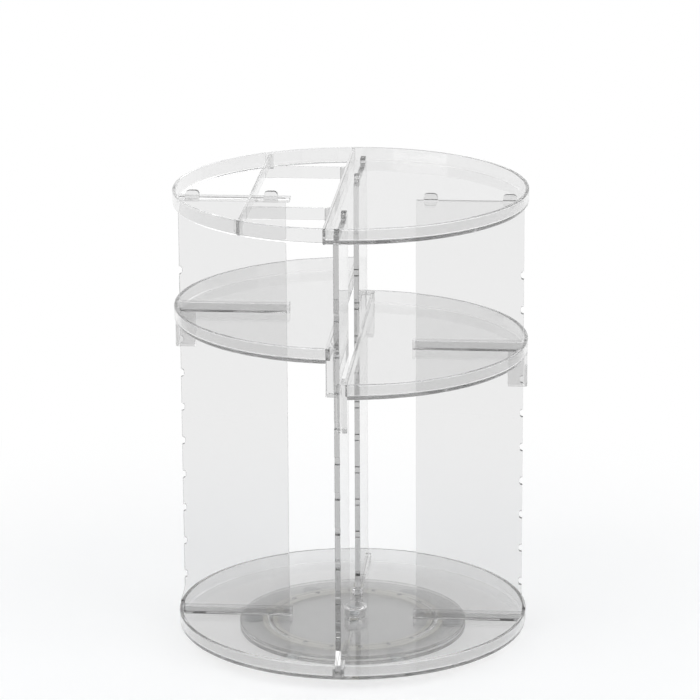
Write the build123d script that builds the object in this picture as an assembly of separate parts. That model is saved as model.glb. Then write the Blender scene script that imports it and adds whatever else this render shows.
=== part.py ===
from build123d import *
import os
from math import sqrt

os.makedirs("parts", exist_ok=True)

# A clear, round cosmetics tower that turns on a ball turntable. Millimetres, +Z up, origin on the
# table under the centre. -Y is the front, +X the right.

# --- driving dimensions ---------------------------------------------------------------------------

RING_R = 115.0  # outer radius of every tray
OVERALL_H = 303.0  # table to the rim of the top tray
BAND_H = 10.5  # height of a tray's band
BAND_T = 2.4  # thickness of a tray's band
FLOOR_T = 2.4  # thickness of a tray's floor
EDGE_R = 3.0  # rounding of a tray's lower outer edge
RIM_R = 0.9  # softening along the top of a band
INNER_R = 1.2  # fillet between floor and band

PANEL_T = 3.5  # thickness of an upright panel
PANEL_W = 70.0  # width of a panel, measured outwards from the centre
PANEL_EDGE_GAP = 0.4  # between a panel's outer edge and the inside of a band
PANEL_FIT = 0.1  # around a panel in its socket and its tabs in their slots
PANEL_CORNER_R = 0.8  # rounding of a panel's free corners
TAB_W = 9.0  # width of a panel's tabs
TAB_INSET = 9.5  # centre of a tab from the panel's edge
TAB_PROUD = 4.0  # how far the top tabs stand above the floor
TAB_TIP_R = 2.6  # rounding of the top tabs
FOOT_FLARE_H = 10.0  # height over which a panel widens to its foot, above the base's rim
FOOT_FLARE_R = 12.0  # curve at the top of that flare
NOTCH_R = 2.5  # radius of a height notch
NOTCH_DEPTH = 2.0  # how deep a notch cuts into the panel's outer edge
NOTCH_PITCH = 23.2  # distance between height notches
SOCKET_H = 5.0  # height of the ribs that hold a panel's foot
SOCKET_T = 1.8  # thickness of those ribs

SLIDE_GAP = 0.35  # running gap between a sliding tray and the panels
CHORD_X = 4.5  # straight side of a half tray from the tower's middle plane
CHORD_T = 2.2  # thickness of that straight side
COAMING_H = 6.0  # height of the wall round a tray's panel slot
COAMING_T = 1.8  # thickness of that wall
GUIDE_DROP = 21.0  # how far guides and sleeves hang below a half tray
GUIDE_L = 12.0  # length of an end guide along its panel
LIP_GAP = 0.6  # between the guides of the two half trays, at the panel's edge
SLEEVE_GRIP = 10.0  # how far a sleeve reaches along the side panel
SLEEVE_T = 2.2  # thickness of a sleeve's cheeks
SLEEVE_INSET = 0.2  # sleeve's back inside the outer radius
SLEEVE_BACK_GAP = 0.9  # between the panel's edge and the sleeve's back
SLEEVE_CORNER_R = 1.0  # rounding of a sleeve's upright corners
CATCH_DROP = 17.0  # centre of the catch below the band
CATCH_R = 2.2  # radius of the catch's nose
CATCH_W = 2.4  # width of the springy tongue that carries the catch
TONGUE_L = 14.0  # length of that tongue
TONGUE_SLIT = 0.8  # slit on each side of the tongue
LOWEST_GAP = 5.1  # between a sleeve at the lowest level and the panel's flared foot
LEVEL_HEADROOM = 1.0  # least space above a tray at the highest level
RIGHT_LEVEL = 6  # notch that holds the right tray, counted from 0
LEFT_LEVEL = 7  # notch that holds the left tray

OPEN_EDGE_X = -8.0  # straight edge of the top tray's floor; left of it the tray is open
DIVIDER_T = 1.8  # thickness of the divider walls
DIVIDER_X = -62.0  # front-to-back wall of the divider
DIVIDER_Y = 57.0  # cross walls of the divider, in front of and behind the centre
DIVIDER_SOCKET_L = 3.5  # length of the ribs that hold the divider's ends
DIVIDER_SOCKET_T = 1.4  # thickness of those ribs
DIVIDER_LEDGE_T = 1.6  # ledge under the divider's ends
DIVIDER_INSET = 0.6  # top of the divider below the rim
REST_GAP = 0.1  # play under a piece that rests loose
STRIP_W = 10.0  # width of the strip that takes the left panel's tabs
STRIP_END = 3.0  # how far the strip reaches past the panel's inner edge

DISC_R = 75.0  # radius of the two turntable discs
DISC_T = 2.4  # thickness of a turntable disc
DISC_GAP = 1.2  # space between the two discs
DISC_EDGE_R = 0.6  # softening of the discs' rims
BALL_R = 1.75  # radius of a bearing ball
BALL_COUNT = 18
BALL_FIT = 0.05  # round a ball, in its groove and in the cage
TRACK_R = 55.0  # radius of the ball track
CAGE_T = 0.6  # thickness of the ball cage
CAGE_W = 10.0  # width of the ball cage
PAD_R = 6.0  # radius of a foot pad
PAD_COUNT = 6
PAD_TRACK_R = 66.0  # circle that the pads stand on
PAD_PROUD = 1.0  # how far a pad stands below the foot plate
PAD_SEAT = 0.8  # depth of a pad's recess

SCREW_R = 2.0  # radius of the pivot screw
SCREW_HEAD_R = 4.0  # radius of its countersunk head
SCREW_HEAD_H = 2.0  # height of that head
SCREW_KEY = 2.5  # width across flats of the key socket
SCREW_KEY_DEPTH = 1.2
SCREW_END = 0.6  # thread that shows past the nut
SHANK_FIT = 0.1  # round the screw in the foot plate and the washer
HUB_R = 8.0  # radius of the base tray's hub
HUB_H = 1.0  # height of the hub above the floor
BUSH_R = 4.0  # outer radius of the hub bush
BUSH_FIT = 0.05  # running gap between screw and bush
BUSH_PROUD = 0.2  # bush above the hub, so that the washer runs on it alone
AXIAL_PLAY = 0.1  # between bush and washer
WASHER_R = 4.5
WASHER_T = 0.8
NUT_FLATS = 7.0  # width across flats
NUT_H = 3.2
CAP_T = 1.5  # wall of the nut cap
CAP_HEADROOM = 0.6  # between the screw's end and the cap
CAP_EDGE_R = 1.4  # rounding of the cap's top edge

# --- heights and radii that follow from them ---------------------------------------------------------

FOOT_Z = PAD_PROUD
FOOT_TOP_Z = FOOT_Z + DISC_T
RACE_Z = FOOT_TOP_Z + DISC_GAP
BASE_Z = RACE_Z + DISC_T
BALL_Z = (FOOT_TOP_Z + RACE_Z) / 2
BASE_FLOOR_Z = BASE_Z + FLOOR_T
BASE_RIM_Z = BASE_Z + BAND_H
TOP_Z = OVERALL_H - BAND_H
TOP_FLOOR_Z = TOP_Z + FLOOR_T

BAND_R_IN = RING_R - BAND_T
PANEL_R_OUT = BAND_R_IN - PANEL_EDGE_GAP
PANEL_R_IN = PANEL_R_OUT - PANEL_W
TAB_RADII = (PANEL_R_IN + TAB_INSET, PANEL_R_OUT - TAB_INSET)
SLOT_W = PANEL_T + 2 * PANEL_FIT
SLIDE_SLOT_W = PANEL_T + 2 * SLIDE_GAP

LOWEST_LEVEL_Z = BASE_RIM_Z + FOOT_FLARE_H + LOWEST_GAP + GUIDE_DROP
LEVEL_COUNT = 1 + int((TOP_Z - LEVEL_HEADROOM - BAND_H - LOWEST_LEVEL_Z) / NOTCH_PITCH)
LEVELS = [LOWEST_LEVEL_Z + level * NOTCH_PITCH for level in range(LEVEL_COUNT)]
RIGHT_TRAY_Z = LOWEST_LEVEL_Z + RIGHT_LEVEL * NOTCH_PITCH
LEFT_TRAY_Z = LOWEST_LEVEL_Z + LEFT_LEVEL * NOTCH_PITCH

HUB_TOP_Z = BASE_FLOOR_Z + HUB_H
BUSH_TOP_Z = HUB_TOP_Z + BUSH_PROUD
WASHER_Z = BUSH_TOP_Z + AXIAL_PLAY
NUT_Z = WASHER_Z + WASHER_T
SCREW_TOP_Z = NUT_Z + NUT_H + SCREW_END
CAP_INSIDE_Z = SCREW_TOP_Z + CAP_HEADROOM

# --- shared shapes -------------------------------------------------------------------------------------


def outline(*corners):
    """A flat face from corners given as (across, up, corner radius)."""
    points = [(across, up) for across, up, _ in corners]
    radii = [radius for _, _, radius in corners]
    return make_face(FilletPolyline(*points, radius=radii, close=True))


def block(x_low, x_high, y_low, y_high, z_low, z_high):
    """A box from its two limits along each axis."""
    centre = ((x_low + x_high) / 2, (y_low + y_high) / 2, (z_low + z_high) / 2)
    return Pos(*centre) * Box(x_high - x_low, y_high - y_low, z_high - z_low)


def drum(radius, z_low, z_high):
    """An upright cylinder about the tower's axis."""
    return Pos(0, 0, (z_low + z_high) / 2) * Cylinder(radius, z_high - z_low)


def turned(*corners):
    """A solid turned about the tower's axis, from its (radius, height, corner radius) section."""
    return revolve(Plane.XZ * outline(*corners), Axis.Z)


def around(count, shape, radius, z):
    """Copies of a shape on a circle about the axis."""
    return [place * shape for place in Pos(0, 0, z) * PolarLocations(radius, count)]


def four_ways(shape):
    """The shape, and its copies at the other three panels."""
    return [Rot(0, 0, turn) * shape for turn in (0, 90, 180, 270)]


def save(name, shape):
    """Write one node; a group of loose solids is written as one compound."""
    if isinstance(shape, list):
        shape = Compound(children=shape)
    shape.label = name
    export_step(shape, f"parts/{name}.step")


# --- trays ---------------------------------------------------------------------------------------------


def round_pan(z_low):
    """Floor and band in one: rounded lower edge, softened rim, small fillet inside."""
    z_floor = z_low + FLOOR_T
    z_rim = z_low + BAND_H
    return turned(
        (0, z_low, 0),
        (RING_R, z_low, EDGE_R),
        (RING_R, z_rim, RIM_R),
        (BAND_R_IN, z_rim, RIM_R),
        (BAND_R_IN, z_floor, INNER_R),
        (0, z_floor, 0),
    )


def tab_slots(z_low, z_high):
    """Slots in a floor for the two tabs of the right-hand panel."""
    half = TAB_W / 2 + PANEL_FIT
    return [block(r - half, r + half, -SLOT_W / 2, SLOT_W / 2, z_low, z_high) for r in TAB_RADII]


def base_tray():
    """Round pan with a hub for the pivot and a ribbed socket for each panel's foot."""
    tray = round_pan(BASE_Z)
    tray += drum(HUB_R, BASE_FLOOR_Z, HUB_TOP_Z)
    half = SLOT_W / 2 + SOCKET_T
    inner = PANEL_R_IN - PANEL_FIT
    rib_end = (BAND_R_IN + RING_R) / 2
    ribs = block(inner - SOCKET_T, rib_end, -half, half, BASE_FLOOR_Z, BASE_FLOOR_Z + SOCKET_H)
    past_band = (RING_R + BAND_T, BASE_RIM_Z + BAND_T)
    gap = block(inner, past_band[0], -SLOT_W / 2, SLOT_W / 2, BASE_FLOOR_Z, past_band[1])
    tray += four_ways(ribs)
    tray -= four_ways(gap)
    for slot in tab_slots(BASE_Z, BASE_FLOOR_Z):
        tray -= four_ways(slot)
    return tray - drum(BUSH_R, BASE_Z, HUB_TOP_Z)


def half_tray(z_low):
    """The right half tray: straight side, slot for the side panel and a guide at each end."""
    z_floor = z_low + FLOOR_T
    z_rim = z_low + BAND_H
    slot_half = SLIDE_SLOT_W / 2
    slot_inner = PANEL_R_IN - SLIDE_GAP
    guide_x = PANEL_T / 2 + SLIDE_GAP
    side_x = CHORD_X + CHORD_T

    tray = round_pan(z_low) & block(CHORD_X, RING_R, -RING_R, RING_R, z_low, z_rim)
    straight_side = block(CHORD_X, side_x, -RING_R, RING_R, z_low, z_rim)
    coaming_half = slot_half + COAMING_T
    coaming_x = (slot_inner - COAMING_T, RING_R)
    coaming = block(*coaming_x, -coaming_half, coaming_half, z_floor, z_floor + COAMING_H)
    tray += straight_side & drum(BAND_R_IN + BAND_T / 2, z_low, z_rim)
    tray += coaming & drum(BAND_R_IN + BAND_T / 2, z_low, z_rim)
    for end in (-1, 1):
        runner_from = end * (PANEL_R_OUT - GUIDE_L)
        lip_from = end * (PANEL_R_OUT + SLIDE_GAP)
        y_runner = sorted((runner_from, end * RING_R))
        y_lip = sorted((lip_from, end * RING_R))
        runner = block(guide_x, side_x, *y_runner, z_low - GUIDE_DROP, z_rim)
        lip = block(LIP_GAP / 2, side_x, *y_lip, z_low - GUIDE_DROP, z_rim)
        tray += (runner + lip) & drum(RING_R, z_low - GUIDE_DROP, z_rim)
    return tray - block(slot_inner, BAND_R_IN, -slot_half, slot_half, z_low, z_floor + COAMING_H)


def tray_sleeve(z_low):
    """Block under the right half tray that grips the side panel; its tongue carries the catch."""
    back = RING_R - SLEEVE_INSET
    front = PANEL_R_OUT - SLEEVE_GRIP
    z_bottom = z_low - GUIDE_DROP
    half = SLIDE_SLOT_W / 2
    cheek = half + SLEEVE_T
    corner = SLEEVE_CORNER_R
    around_panel = outline(
        (front, -cheek, corner),
        (back, -cheek, corner),
        (back, cheek, corner),
        (front, cheek, corner),
    )
    body = Pos(0, 0, z_bottom) * extrude(around_panel, GUIDE_DROP)
    inside = PANEL_R_OUT + SLEEVE_BACK_GAP
    sleeve = body - block(front, inside, -half, half, z_bottom, z_low)
    nose_x = PANEL_R_OUT + SLIDE_GAP + CATCH_R
    nose = Pos(nose_x, 0, z_low - CATCH_DROP) * Rot(90, 0, 0) * Cylinder(CATCH_R, CATCH_W)
    sleeve += nose & block(front, back, -half, half, z_bottom, z_low)
    for side in (-1, 1):
        y_slit = sorted((side * CATCH_W / 2, side * (CATCH_W / 2 + TONGUE_SLIT)))
        sleeve -= block(inside, RING_R, *y_slit, z_bottom, z_bottom + TONGUE_L)
    return sleeve


def top_tray():
    """Round pan with its left half open, a strip for the left panel and sockets for the divider."""
    z_rim = TOP_Z + BAND_H
    half_wall = DIVIDER_T / 2 + SLIDE_GAP
    half_socket = half_wall + DIVIDER_SOCKET_T
    band_middle = BAND_R_IN + BAND_T / 2
    z_ledge = TOP_Z + DIVIDER_LEDGE_T
    strip_inner = PANEL_R_IN - STRIP_END
    wall_end = sqrt(BAND_R_IN**2 - DIVIDER_X**2)

    tray = round_pan(TOP_Z)
    open_half = block(-RING_R, OPEN_EDGE_X, -RING_R, RING_R, TOP_Z, z_rim)
    tray -= open_half & drum(BAND_R_IN, TOP_Z, z_rim)
    edge_wall = block(OPEN_EDGE_X, OPEN_EDGE_X + DIVIDER_T, -RING_R, RING_R, TOP_Z, z_rim)
    strip = block(-RING_R, -strip_inner, -STRIP_W / 2, STRIP_W / 2, TOP_Z, TOP_FLOOR_Z)
    tray += edge_wall & drum(band_middle, TOP_Z, z_rim)
    tray += strip & drum(band_middle, TOP_Z, z_rim)
    for side in (-1, 1):
        y_socket = sorted((side * (wall_end - DIVIDER_SOCKET_L), side * RING_R))
        x_socket = (DIVIDER_X - half_socket, DIVIDER_X + half_socket)
        x_slot = (DIVIDER_X - half_wall, DIVIDER_X + half_wall)
        long_socket = block(*x_socket, *y_socket, TOP_Z, z_rim - RIM_R)
        long_slot = block(*x_slot, *y_socket, z_ledge, z_rim)
        tray += long_socket & drum(band_middle, TOP_Z, z_rim)
        tray -= long_slot & drum(BAND_R_IN, TOP_Z, z_rim)
        y_cross = side * DIVIDER_Y
        x_cross = (OPEN_EDGE_X - DIVIDER_SOCKET_L, OPEN_EDGE_X)
        tray += block(*x_cross, y_cross - half_socket, y_cross + half_socket, TOP_Z, z_rim - RIM_R)
        tray -= block(*x_cross, y_cross - half_wall, y_cross + half_wall, z_ledge, z_rim)
    for slot in tab_slots(TOP_Z, TOP_FLOOR_Z):
        tray -= four_ways(slot)
    return tray


def brush_divider():
    """One long wall and two cross walls that hang in the top tray's open half."""
    z_bottom = TOP_Z + DIVIDER_LEDGE_T + REST_GAP
    z_top = TOP_Z + BAND_H - DIVIDER_INSET
    half_wall = DIVIDER_T / 2
    reach = BAND_R_IN - SLIDE_GAP
    long_wall = block(DIVIDER_X - half_wall, DIVIDER_X + half_wall, -reach, reach, z_bottom, z_top)
    divider = long_wall & drum(reach, z_bottom, z_top)
    for side in (-1, 1):
        y_cross = side * DIVIDER_Y
        x_span = (DIVIDER_X, OPEN_EDGE_X - SLIDE_GAP)
        divider += block(*x_span, y_cross - half_wall, y_cross + half_wall, z_bottom, z_top)
    over_strip = STRIP_W / 2 + SLIDE_GAP
    x_cut = (DIVIDER_X - DIVIDER_T, DIVIDER_X + DIVIDER_T)
    return divider - block(*x_cut, -over_strip, over_strip, TOP_Z, TOP_FLOOR_Z + REST_GAP)


# --- panels --------------------------------------------------------------------------------------------


def panel():
    """The right-hand panel: foot in the base's band, notched outer edge, tabs above and below."""
    face = outline(
        (PANEL_R_IN, BASE_FLOOR_Z, 0),
        (RING_R, BASE_FLOOR_Z, 0),
        (RING_R, BASE_RIM_Z, PANEL_CORNER_R),
        (PANEL_R_OUT, BASE_RIM_Z + FOOT_FLARE_H, FOOT_FLARE_R),
        (PANEL_R_OUT, TOP_Z, PANEL_CORNER_R),
        (PANEL_R_IN, TOP_Z, PANEL_CORNER_R),
    )
    half_tab = TAB_W / 2
    tab_top = TOP_FLOOR_Z + TAB_PROUD
    for r in TAB_RADII:
        face += outline(
            (r - half_tab, BASE_Z, 0),
            (r + half_tab, BASE_Z, 0),
            (r + half_tab, tab_top, TAB_TIP_R),
            (r - half_tab, tab_top, TAB_TIP_R),
        )
    for z in LEVELS:
        face -= Pos(PANEL_R_OUT + NOTCH_R - NOTCH_DEPTH, z - CATCH_DROP) * Circle(NOTCH_R)
    return extrude(Plane.XZ * face, PANEL_T / 2, both=True)


# --- turntable -----------------------------------------------------------------------------------------


def ball_groove():
    """The ring of space that the balls run in."""
    return revolve(Plane.XZ * Pos(TRACK_R, BALL_Z) * Circle(BALL_R + BALL_FIT), Axis.Z)


def disc(z_low, hole_r):
    """One turntable disc with a central hole and half of the ball groove."""
    z_top = z_low + DISC_T
    plate = turned(
        (hole_r, z_low, 0), (DISC_R, z_low, DISC_EDGE_R), (DISC_R, z_top, DISC_EDGE_R), (hole_r, z_top, 0)
    )
    return plate - ball_groove()


def screw_head(clearance):
    """Countersunk head, point up, with its widest end flush with the foot plate."""
    head = Cone(SCREW_HEAD_R, SCREW_R + clearance, SCREW_HEAD_H)
    return Pos(0, 0, FOOT_Z + SCREW_HEAD_H / 2) * head


def foot_plate():
    """Lower disc: stands on the pads and holds the screw."""
    plate = disc(FOOT_Z, SCREW_R + SHANK_FIT) - screw_head(SHANK_FIT)
    seat = Cylinder(PAD_R, PAD_SEAT)
    return plate - around(PAD_COUNT, seat, PAD_TRACK_R, FOOT_Z + PAD_SEAT / 2)


def foot_pads():
    """Soft round pads in the recesses of the foot plate."""
    height = PAD_PROUD + PAD_SEAT
    return around(PAD_COUNT, Cylinder(PAD_R, height), PAD_TRACK_R, height / 2)


def ball_cage():
    """Thin ring that keeps the balls apart."""
    half = CAGE_W / 2
    z_low = BALL_Z - CAGE_T / 2
    z_top = BALL_Z + CAGE_T / 2
    ring = drum(TRACK_R + half, z_low, z_top) - drum(TRACK_R - half, z_low, z_top)
    return ring - around(BALL_COUNT, Cylinder(BALL_R + BALL_FIT, CAGE_T), TRACK_R, BALL_Z)


def pivot_screw():
    """Countersunk screw, head down, that holds the two discs together."""
    screw = screw_head(0) + drum(SCREW_R, FOOT_Z + SCREW_HEAD_H, SCREW_TOP_Z)
    key = extrude(RegularPolygon(SCREW_KEY / 2, 6, major_radius=False), SCREW_KEY_DEPTH)
    return screw - Pos(0, 0, FOOT_Z) * key


def hub_bush():
    """Plastic sleeve in the hub that turns on the screw."""
    return drum(BUSH_R, RACE_Z, BUSH_TOP_Z) - drum(SCREW_R + BUSH_FIT, RACE_Z, BUSH_TOP_Z)


def pivot_washer():
    """Flat washer under the nut."""
    return drum(WASHER_R, WASHER_Z, NUT_Z) - drum(SCREW_R + SHANK_FIT, WASHER_Z, NUT_Z)


def pivot_nut():
    """Hexagon nut on the screw's end."""
    hexagon = RegularPolygon(NUT_FLATS / 2, 6, major_radius=False)
    return Pos(0, 0, NUT_Z) * extrude(hexagon, NUT_H) - drum(SCREW_R, NUT_Z, NUT_Z + NUT_H)


def nut_cap():
    """Round cap pressed over the hub, to hide the nut."""
    z_top = CAP_INSIDE_Z + CAP_T
    return turned(
        (HUB_R, BASE_FLOOR_Z, 0),
        (HUB_R + CAP_T, BASE_FLOOR_Z, 0),
        (HUB_R + CAP_T, z_top, CAP_EDGE_R),
        (0, z_top, 0),
        (0, CAP_INSIDE_Z, 0),
        (HUB_R, CAP_INSIDE_Z, 0),
    )


# --- one file for each piece ---------------------------------------------------------------------------

save("foot_plate", foot_plate())
save("foot_pads", foot_pads())
save("ball_cage", ball_cage())
save("bearing_balls", around(BALL_COUNT, Sphere(BALL_R), TRACK_R, BALL_Z))
save("race_disc", disc(RACE_Z, BUSH_R))
save("pivot_screw", pivot_screw())
save("hub_bush", hub_bush())
save("pivot_washer", pivot_washer())
save("pivot_nut", pivot_nut())
save("nut_cap", nut_cap())
save("base_tray", base_tray())
for name, upright in zip(("panel_right", "panel_back", "panel_left", "panel_front"), four_ways(panel())):
    save(name, upright)
save("right_tray", half_tray(RIGHT_TRAY_Z))
save("right_tray_sleeve", tray_sleeve(RIGHT_TRAY_Z))
save("left_tray", mirror(half_tray(LEFT_TRAY_Z), Plane.YZ))
save("left_tray_sleeve", mirror(tray_sleeve(LEFT_TRAY_Z), Plane.YZ))
save("top_tray", top_tray())
save("brush_divider", brush_divider())
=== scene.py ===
import math
import bmesh
import bpy
from mathutils import Matrix, Vector


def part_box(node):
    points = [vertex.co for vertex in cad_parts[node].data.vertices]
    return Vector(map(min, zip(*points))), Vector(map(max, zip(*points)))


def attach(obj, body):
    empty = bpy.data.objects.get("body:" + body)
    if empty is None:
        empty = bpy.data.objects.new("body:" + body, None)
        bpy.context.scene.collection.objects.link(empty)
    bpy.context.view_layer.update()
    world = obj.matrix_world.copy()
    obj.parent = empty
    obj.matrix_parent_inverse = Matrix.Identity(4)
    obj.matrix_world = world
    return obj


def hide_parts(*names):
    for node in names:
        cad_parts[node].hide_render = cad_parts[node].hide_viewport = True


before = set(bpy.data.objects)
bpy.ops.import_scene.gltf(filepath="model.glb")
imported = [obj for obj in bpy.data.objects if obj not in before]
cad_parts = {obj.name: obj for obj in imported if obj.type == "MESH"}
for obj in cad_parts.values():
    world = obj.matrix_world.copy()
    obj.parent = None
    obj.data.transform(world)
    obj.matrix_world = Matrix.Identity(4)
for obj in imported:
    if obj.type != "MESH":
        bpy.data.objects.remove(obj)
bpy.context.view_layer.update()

# --- foot plate -------------------------------------------------------------------------------------
# The lower disc of the turntable, which stands still. It is moulded in clear acrylic, with half of the
# ball groove in its top, a countersunk hole for the pivot screw and a recess for each pad below.


def linear(colour):
    """A linear RGBA colour from an sRGB hex value."""
    channels = [int(colour[i:i + 2], 16) / 255 for i in (0, 2, 4)]
    return [c / 12.92 if c <= 0.04045 else ((c + 0.055) / 1.055) ** 2.4 for c in channels] + [1.0]


def add_node(tree, kind, settings, links):
    """A shader node with its socket or property settings, fed by (socket name, source socket) pairs."""
    node = tree.nodes.new(kind)
    for name, value in settings.items():
        if name in node.inputs:
            node.inputs[name].default_value = value
        else:
            setattr(node, name, value)
    for name, source in links:
        tree.links.new(source, node.inputs[name])
    return node


MM = 0.001


def clear_acrylic(name, haze):
    """Injection-moulded PMMA. Its faces are glossy and almost flat, each wall takes a little light away,
    and a long way inside it, such as along a panel or round a band, looks grey."""
    wave = 16.667 * MM  # soft waves that the melt leaves in a moulded face
    smear = 4.167 * MM  # patches that handling has dulled a little
    material = bpy.data.materials.new(name)
    material.use_nodes = True
    tree = material.node_tree
    tree.nodes.clear()
    place = add_node(tree, "ShaderNodeTexCoord", {}, [])
    on_piece = [("Vector", place.outputs["Object"])]
    flow = add_node(
        tree, "ShaderNodeTexNoise", {"Scale": 1 / wave, "Detail": 1.0, "Roughness": 0.3}, on_piece
    )
    handling = add_node(
        tree, "ShaderNodeTexNoise", {"Scale": 1 / smear, "Detail": 4.0, "Roughness": 0.6}, on_piece
    )
    polish = add_node(
        tree,
        "ShaderNodeMapRange",
        {"From Min": 0.35, "From Max": 0.75, "To Min": 0.0, "To Max": 0.045},
        [("Value", handling.outputs["Fac"])],
    )
    sink = add_node(
        tree, "ShaderNodeBump", {"Strength": 0.05, "Distance": 0.06 * MM}, [("Height", flow.outputs["Fac"])]
    )
    body = add_node(
        tree,
        "ShaderNodeBsdfPrincipled",
        {"Base Color": linear("eeeeee"), "IOR": 1.49, "Transmission Weight": 1.0},
        [("Roughness", polish.outputs["Result"]), ("Normal", sink.outputs["Normal"])],
    )
    through = add_node(tree, "ShaderNodeBsdfTransparent", {"Color": linear("f9f9f9")}, [])
    ray = add_node(tree, "ShaderNodeLightPath", {}, [])
    surface = add_node(tree, "ShaderNodeMixShader", {}, [("Fac", ray.outputs["Is Shadow Ray"])])
    tree.links.new(body.outputs["BSDF"], surface.inputs[1])
    tree.links.new(through.outputs["BSDF"], surface.inputs[2])
    depth = add_node(tree, "ShaderNodeVolumeAbsorption", {"Color": linear("e8e8e8"), "Density": haze}, [])
    add_node(
        tree,
        "ShaderNodeOutputMaterial",
        {},
        [("Surface", surface.outputs["Shader"]), ("Volume", depth.outputs["Volume"])],
    )
    return material


ACRYLIC = clear_acrylic("clear_acrylic", 22.0)
RING_STEPS = 256
ARC_STEPS = 6
BONDED = 0.02 * MM  # left between two faces that touch, so that clear ones don't fall together
WELD = 0.001 * MM  # vertices of one shape nearer than this are one
JOIN_WELD = 0.003 * MM  # the same after shapes are joined, and still well under BONDED


def outlined(bm, corners):
    """A flat face in the XZ plane from (across, up, corner radius), with round corners as arcs."""
    points = [Vector((across, 0, up)) for across, up, _ in corners]
    verts = [bm.verts.new(point) for point in points]
    bm.faces.new(verts)
    for i, (_, _, radius) in enumerate(corners):
        if radius:
            before = points[i - 1] - points[i]
            after = points[(i + 1) % len(points)] - points[i]
            turn = math.pi - before.angle(after)
            bmesh.ops.bevel(
                bm,
                geom=[verts[i]],
                offset=radius * math.tan(turn / 2),
                offset_type="OFFSET",
                affect="VERTICES",
                segments=ARC_STEPS,
                profile=0.5,
                material=-1,
            )
    return bm.faces[:]


def made(name, bm):
    """A mesh object from a closed bmesh, with its faces pointing outwards."""
    bmesh.ops.remove_doubles(bm, verts=bm.verts, dist=WELD)
    bmesh.ops.recalc_face_normals(bm, faces=bm.faces)
    mesh = bpy.data.meshes.new(name)
    bm.to_mesh(mesh)
    bm.free()
    piece = bpy.data.objects.new(name, mesh)
    bpy.context.scene.collection.objects.link(piece)
    return piece


def turned(name, corners, steps=RING_STEPS):
    """A solid of revolution about the tower's axis, from its (radius, height, corner radius) section."""
    bm = bmesh.new()
    section = outlined(bm, corners)
    bmesh.ops.delete(bm, geom=section, context="FACES_ONLY")
    on_axis = [edge for edge in bm.edges if all(abs(vert.co.x) < WELD for vert in edge.verts)]
    bmesh.ops.delete(bm, geom=on_axis, context="EDGES")
    bmesh.ops.spin(
        bm,
        geom=bm.verts[:] + bm.edges[:],
        cent=(0, 0, 0),
        axis=(0, 0, 1),
        angle=2 * math.pi,
        steps=steps,
        use_merge=True,
    )
    return made(name, bm)


def applied(piece):
    """The piece's modifiers worked into its mesh."""
    bpy.context.view_layer.update()
    shaped = piece.evaluated_get(bpy.context.evaluated_depsgraph_get())
    mesh = bpy.data.meshes.new_from_object(shaped)
    piece.modifiers.clear()
    piece.data = mesh


def joined(piece, operation, *others):
    """The piece united with, cut by or limited to the other closed shapes, which are used up."""
    for other in others:
        step = piece.modifiers.new("join", "BOOLEAN")
        step.operation = operation
        step.solver = "EXACT"
        step.object = other
    applied(piece)
    bm = bmesh.new()
    bm.from_mesh(piece.data)
    bmesh.ops.remove_doubles(bm, verts=bm.verts, dist=JOIN_WELD)
    bmesh.ops.dissolve_degenerate(bm, edges=bm.edges, dist=JOIN_WELD)
    bm.to_mesh(piece.data)
    bm.free()
    for other in others:
        bpy.data.objects.remove(other)
    return piece


def finished(piece, material, body, node, sharp=32):
    """Smooth shading that leaves flat faces flat, the material, and the piece's place in the frame."""
    piece.data.shade_smooth()
    piece.data.set_sharp_from_angle(angle=math.radians(sharp))
    flat = piece.modifiers.new("flat_faces", "WEIGHTED_NORMAL")
    flat.mode = "FACE_AREA"
    flat.weight = 80
    flat.keep_sharp = True
    applied(piece)
    piece.data.materials.clear()
    piece.data.materials.append(material)
    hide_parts(node)
    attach(piece, body)
    return piece


def upright_drums(name, radius, z_low, z_high, centres, edge=0.0, sides=64):
    """Round discs or pins at the given centres, with their rims rounded."""
    bm = bmesh.new()
    for centre in centres:
        bmesh.ops.create_cone(
            bm,
            cap_ends=True,
            segments=sides,
            radius1=radius,
            radius2=radius,
            depth=z_high - z_low,
            matrix=Matrix.Translation((centre[0], centre[1], (z_low + z_high) / 2)),
        )
    if edge:
        rims = [e for e in bm.edges if abs(e.verts[0].co.z - e.verts[1].co.z) < edge]
        bmesh.ops.bevel(bm, geom=rims, offset=edge, affect="EDGES", segments=4, profile=0.5, material=-1)
    return made(name, bm)


def on_circle(count, radius):
    """Points spread evenly on a circle about the axis."""
    turns = [2 * math.pi * i / count for i in range(count)]
    return [(radius * math.cos(turn), radius * math.sin(turn)) for turn in turns]


def groove(z_face):
    """Section corners of the ball groove where it opens in a flat face, in the order of growing radius.
    The middle one is where its sides' tangents meet, and its arc stops just short of the other two."""
    up = BALL_Z - z_face
    half = math.sqrt(GROOVE_R**2 - up**2)
    return [
        (TRACK_R - half, z_face, 0),
        (TRACK_R, BALL_Z - GROOVE_R**2 / up, 0.999 * GROOVE_R),
        (TRACK_R + half, z_face, 0),
    ]


foot_low, foot_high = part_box("foot_plate")
ball_low, ball_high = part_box("bearing_balls")
DISC_R = foot_high.x
DISC_EDGE_R = 0.6 * MM
BALL_R = (ball_high.z - ball_low.z) / 2
BALL_Z = (ball_high.z + ball_low.z) / 2
TRACK_R = ball_high.x - BALL_R
BALL_GAP = 0.05 * MM
GROOVE_R = BALL_R + BALL_GAP
SCREW_R = 2.0 * MM
SCREW_GAP = 0.1 * MM
SCREW_HOLE_R = SCREW_R + SCREW_GAP
SCREW_HEAD_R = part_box("pivot_screw")[1].x
SCREW_HEAD_H = 2.0 * MM
PAD_R = 6.0 * MM
PAD_COUNT = 6
PAD_TRACK_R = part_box("foot_pads")[1].x - PAD_R
PAD_SEAT = 0.8 * MM

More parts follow.
